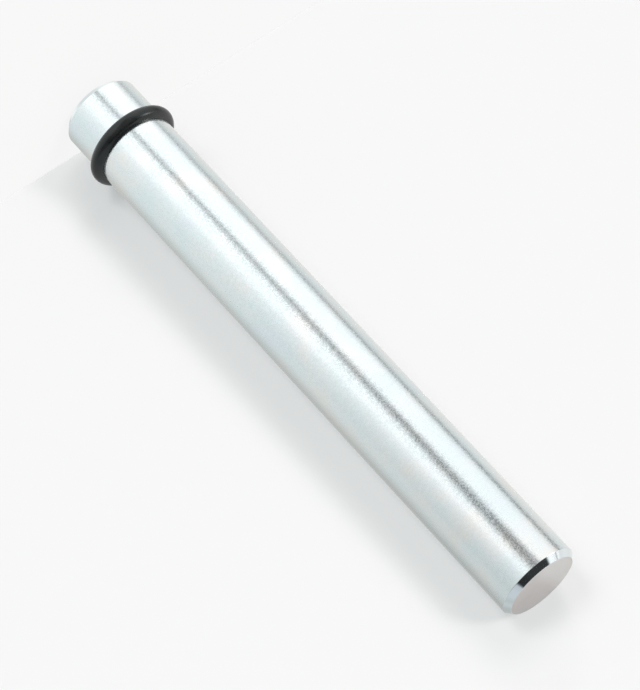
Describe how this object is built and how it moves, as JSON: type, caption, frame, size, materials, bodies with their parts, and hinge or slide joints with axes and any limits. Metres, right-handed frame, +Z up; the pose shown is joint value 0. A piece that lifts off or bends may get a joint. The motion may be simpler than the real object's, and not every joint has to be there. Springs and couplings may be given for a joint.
{
  "type": "bench pin",
  "caption": "Plain round steel pin for a bench hole, chamfered at both ends, with a rubber ring in a groove near its foot that grips the hole.",
  "frame": {"origin": "centre of the foot face, the end nearer the rubber ring", "axes": "+Z up along the axis of the bar, towards the plain top end"},
  "size_m": [0.0224, 0.0224, 0.1524],
  "materials": {
    "plated_steel": "bright zinc plate over turned steel, with a fine grain",
    "black_rubber": "moulded, matte with a soft sheen"
  },
  "bodies": {
    "root": {"steel_bar": "plated_steel", "rubber_ring": "black_rubber"}
  },
  "joints": []
}
